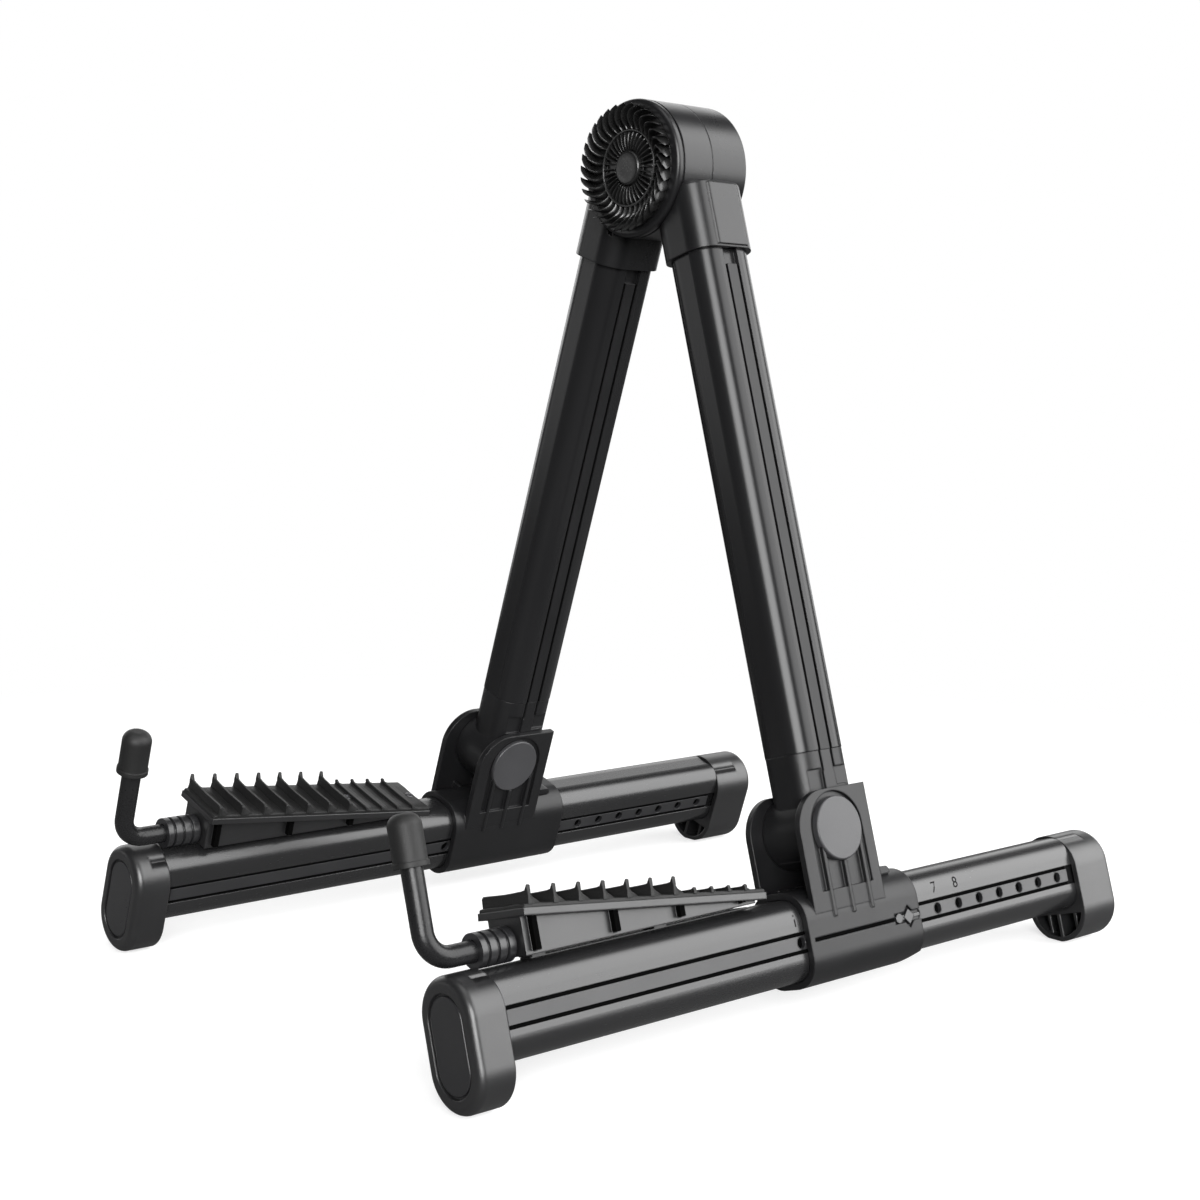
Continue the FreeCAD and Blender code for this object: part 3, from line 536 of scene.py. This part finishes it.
# painted shade: near-black floors in the stop holes, standing in for the shade inside them
def stop_hole_shade(side, sign):
    bm = bmesh.new()
    for face in FACES:
        for hole in range(HOLE_COUNT):
            skin(bm, [hole_ring(sign, face, hole, HOLE_RADIUS, n) for n in HOLE_FLOOR_DEPTHS])
    return make("stop_hole_shade_" + side, bm, "painted_shade_black")


def stop_hole_lips(side, sign):
    """Low raised lips round the mouths of the stop holes."""
    bm = bmesh.new()
    for face in FACES:
        for hole in range(HOLE_COUNT):
            rings = [add_ring(bm, hole_ring(sign, face, hole, radius, n))
                     for radius, n in LIP_SECTION]
            for first, second in zip(rings, rings[1:] + rings[:1]):
                join(bm, first, second)
    return make("stop_hole_lips_" + side, bm, "panel", sharp_angle=60)


def text_mesh(body):
    """A mesh of flat text, centred in x and standing on y = 0."""
    curve = bpy.data.curves.new("num", "FONT")
    curve.body = body
    curve.size = NUMBER_SIZE
    curve.align_x = "CENTER"
    curve.align_y = "BOTTOM"
    holder = bpy.data.objects.new("num", curve)
    bpy.context.scene.collection.objects.link(holder)
    bpy.context.view_layer.update()
    graph = bpy.context.evaluated_depsgraph_get()
    mesh = bpy.data.meshes.new_from_object(holder.evaluated_get(graph))
    bpy.data.objects.remove(holder)
    return mesh


def scale_number(side, sign, index):
    """A number above a stop hole, laid over the rail's rounded shoulder."""
    bm = bmesh.new()
    bm.from_mesh(text_mesh(str(index + 1)))
    bmesh.ops.subdivide_edges(bm, edges=bm.edges, cuts=1)
    centre_y = FIRST_NUMBER_Y if index == 0 else FIRST_HOLE_Y + HOLE_PITCH * index
    for vert in bm.verts:
        y = centre_y + vert.co.x * sign
        v = NUMBER_V + vert.co.y
        drop = 0.0
        if v > SHOULDER_V:
            drop = SHOULDER_RADIUS - math.sqrt(
                max(0.0, SHOULDER_RADIUS ** 2 - (v - SHOULDER_V) ** 2))
        vert.co = side_point(sign, FACE_N - drop + NUMBER_LIFT, y, v)
    return make("scale_number_%s_%d" % (side, index + 1), bm, "print")


# --------------------------------------------------------------- assembly
for piece in (hub_pad_base(), hub_pad_ribs(), hub_pad_fins()):
    attach(piece, "left_leg", "hub_grip_pad")

for side, sign in SIDES:
    cradle, rail = side + "_cradle", side + "_rail"
    for piece in (tray_pad_base(side, sign), tray_pad_ribs(side, sign)):
        attach(piece, cradle, "cradle_pad_" + side)
    for place in SCREW_PLACES:
        attach(tray_screw(side, sign, place), cradle)
    gap_shade_lines(side, sign, "rail", RAIL_V, RAIL_GAP_ENDS, rail_point)
    gap_shade_lines(side, sign, "leg", LEG_Y, LEG_GAP_ENDS, side_point)
    attach(tray_gusset_shade(side, sign), cradle)
    attach(pointer_line_shade(side, sign), side + "_sleeve")
    for piece in (stop_hole_shade(side, sign), stop_hole_lips(side, sign)):
        attach(piece, rail)
    for index in range(NUMBER_COUNT):
        attach(scale_number(side, sign, index), rail)


# --------------------------------------------------------- pale floor
def floor_material():
    """Lit grey near the stand, fading to plain white; darker to all but camera rays."""
    mat = bpy.data.materials.new("pale_floor")
    tree = empty_tree(mat)
    link = tree.links.new
    output = add_node(tree, "OutputMaterial")
    fade = add_node(tree, "MixShader")
    near = add_node(tree, "AddShader")
    diffuse = add_node(tree, "BsdfDiffuse")
    near_glow = add_node(tree, "Emission")
    far_glow = add_node(tree, "Emission")
    geometry = add_node(tree, "NewGeometry")
    distance = add_node(tree, "VectorMath", operation="LENGTH")
    # metres from the world origin over which the floor fades
    reach = add_node(tree, "MapRange", {"From Min": 0.18, "From Max": 0.62},
                     interpolation_type="SMOOTHSTEP")
    rays = add_node(tree, "LightPath")
    grey = add_node(tree, "Mix", {MIX_A: (0.16, 0.16, 0.16, 1), MIX_B: (0.50, 0.50, 0.50, 1)},
                    data_type="RGBA")
    camera_ray = rays.outputs["Is Camera Ray"]
    link(geometry.outputs["Position"], distance.inputs[0])
    link(distance.outputs["Value"], reach.inputs["Value"])
    link(camera_ray, grey.inputs[MIX_FACTOR])
    link(grey.outputs[MIX_RESULT], diffuse.inputs["Color"])
    # glow strength for camera rays and for all others
    for glow, seen, unseen in ((near_glow, 0.60, 0.03), (far_glow, 1.0, 0.08)):
        strength = add_node(tree, "MapRange", {"To Min": unseen, "To Max": seen})
        link(camera_ray, strength.inputs["Value"])
        link(strength.outputs["Result"], glow.inputs["Strength"])
    link(diffuse.outputs[0], near.inputs[0])
    link(near_glow.outputs[0], near.inputs[1])
    link(reach.outputs["Result"], fade.inputs[0])
    link(near.outputs[0], fade.inputs[1])
    link(far_glow.outputs[0], fade.inputs[2])
    link(fade.outputs[0], output.inputs["Surface"])
    return mat


def build_floor():
    mat = floor_material()
    bm = bmesh.new()
    bmesh.ops.create_circle(bm, cap_ends=True, segments=96, radius=4.0)
    mesh = bpy.data.meshes.new("floor")
    bm.to_mesh(mesh)
    bm.free()
    mesh.materials.append(mat)
    floor = bpy.data.objects.new("floor", mesh)
    floor.location = (0, 0, -0.0004)
    bpy.context.scene.collection.objects.link(floor)


# --------------------------------------------------------- light and view
# direction, cosine where the panel starts, cosine where it is full, strength
PANELS = [
    ((0.66, 0.60, 0.46), 0.77, 0.90, 5.4),      # broad, back right: the outer faces
    ((0.76, -0.58, 0.29), 0.91, 0.98, 15.0),    # narrow, front right: line on rounded corners
    ((-0.78, -0.62, -0.08), 0.94, 0.99, 1.3),   # weak, front left
    ((-0.70, 0.60, 0.50), 0.90, 0.98, 1.6),     # back left: sheen on top faces
    ((0.10, -0.20, 1.0), 0.90, 0.985, 2.0),     # overhead
    ((-0.97, 0.10, 0.25), 0.93, 0.985, 2.4),    # far left
    ((-0.30, 0.95, 0.20), 0.93, 0.985, 1.8),    # behind
]
AMBIENT = 0.03      # strength between the panels


def light_panel(tree, coords, direction, start, full, strength):
    """A soft-edged round studio panel, as a strength by direction."""
    facing = add_node(tree, "VectorMath", {1: Vector(direction).normalized()},
                      operation="DOT_PRODUCT")
    falloff = add_node(tree, "MapRange", {"From Min": start, "From Max": full,
                                          "To Max": strength},
                       interpolation_type="SMOOTHSTEP")
    tree.links.new(coords.outputs["Generated"], facing.inputs[0])
    tree.links.new(facing.outputs["Value"], falloff.inputs["Value"])
    return falloff.outputs["Result"]


def build_world():
    """White to the camera; studio panels to every other ray."""
    world = bpy.data.worlds.new("studio")
    bpy.context.scene.world = world
    tree = empty_tree(world)
    link = tree.links.new
    output = add_node(tree, "OutputWorld")
    switch = add_node(tree, "MixShader")
    rays = add_node(tree, "LightPath")
    backdrop = add_node(tree, "Background", {"Color": (1, 1, 1, 1)})
    studio = add_node(tree, "Background", {"Color": (1, 1, 1, 1)})
    link(rays.outputs["Is Camera Ray"], switch.inputs[0])
    link(studio.outputs[0], switch.inputs[1])
    link(backdrop.outputs[0], switch.inputs[2])
    link(switch.outputs[0], output.inputs["Surface"])
    coords = add_node(tree, "TexCoord")
    total = light_panel(tree, coords, *PANELS[0])
    for panel in PANELS[1:]:
        total = add_sum(tree, total, light_panel(tree, coords, *panel))
    lifted = add_node(tree, "Math", {1: AMBIENT}, operation="ADD")
    link(total, lifted.inputs[0])
    link(lifted.outputs[0], studio.inputs["Strength"])


def build_camera():
    """Looks from the front right, slightly down, with a small roll."""
    yaw, pitch, roll = 0.8428, 0.11606, 0.02391     # radians
    place = Vector((511.918, -319.918 + Y_SHIFT, -69.676 + HUB_Z)) * MM
    data = bpy.data.cameras.new("camera")
    camera = bpy.data.objects.new("camera", data)
    bpy.context.scene.collection.objects.link(camera)
    bpy.context.scene.camera = camera
    forward = Vector((-math.sin(yaw) * math.cos(pitch), math.cos(yaw) * math.cos(pitch),
                      -math.sin(pitch)))
    level = Vector((math.cos(yaw), math.sin(yaw), 0))
    upright = level.cross(forward)
    right = level * math.cos(roll) + upright * math.sin(roll)
    up = -level * math.sin(roll) + upright * math.cos(roll)
    rows = [(right[i], up[i], -forward[i], place[i]) for i in range(3)]
    camera.matrix_world = Matrix((*rows, (0, 0, 0, 1)))
    data.sensor_width = 36
    data.lens = 58.9863
    data.clip_start = 0.01
    data.clip_end = 50


build_floor()
build_world()
build_camera()

view = bpy.context.scene.view_settings
view.view_transform = "Standard"
view.look = "None"
view.exposure = 0.0
view.gamma = 1.0
